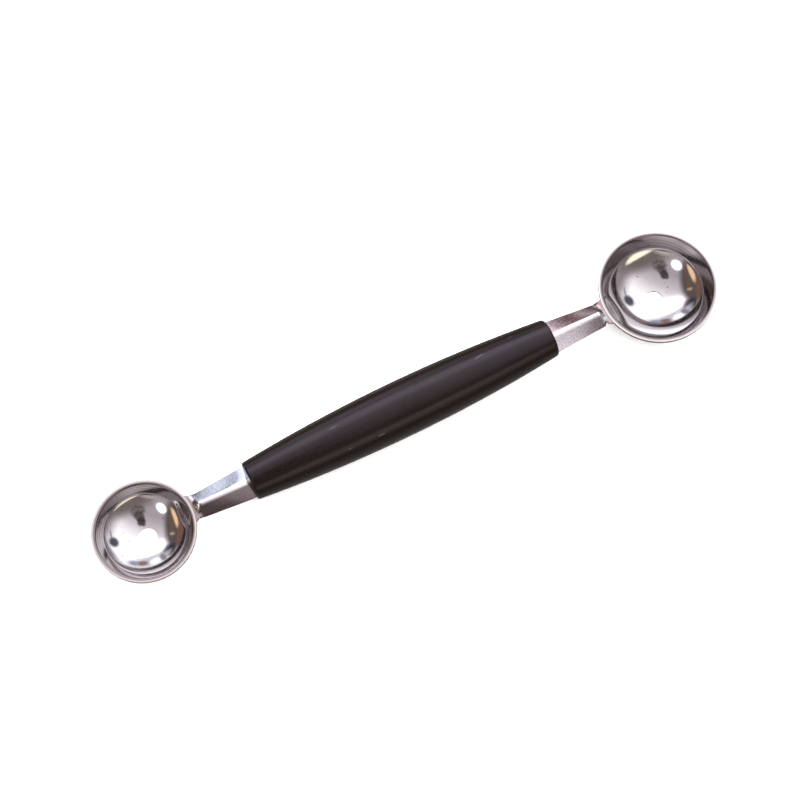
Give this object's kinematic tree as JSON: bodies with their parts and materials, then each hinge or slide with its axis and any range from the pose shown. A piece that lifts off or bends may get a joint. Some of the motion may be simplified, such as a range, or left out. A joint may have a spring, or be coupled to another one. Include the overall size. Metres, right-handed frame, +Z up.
{
  "type": "melon baller",
  "caption": "Double-ended melon baller: a round stamped steel scoop with a drain hole at each end of a barrel-shaped dark plastic handle.",
  "frame": {"origin": "middle of the part's box, at the level of the table that both bowls stand on", "axes": "+X along the handle towards the large scoop, +Z up out of both bowls' mouths; the handle leans about one and a half degrees, as the tool lies on its two bowls"},
  "size_m": [0.169, 0.03, 0.0152],
  "materials": {
    "handle_plastic": "satin brown-black moulded plastic with fine rub marks",
    "stainless_sheet": "polished stainless sheet, with a fine grain left by pressing on the shanks"
  },
  "bodies": {
    "root": {"handle": "handle_plastic", "large_scoop": "stainless_sheet", "small_scoop": "stainless_sheet"}
  },
  "joints": []
}
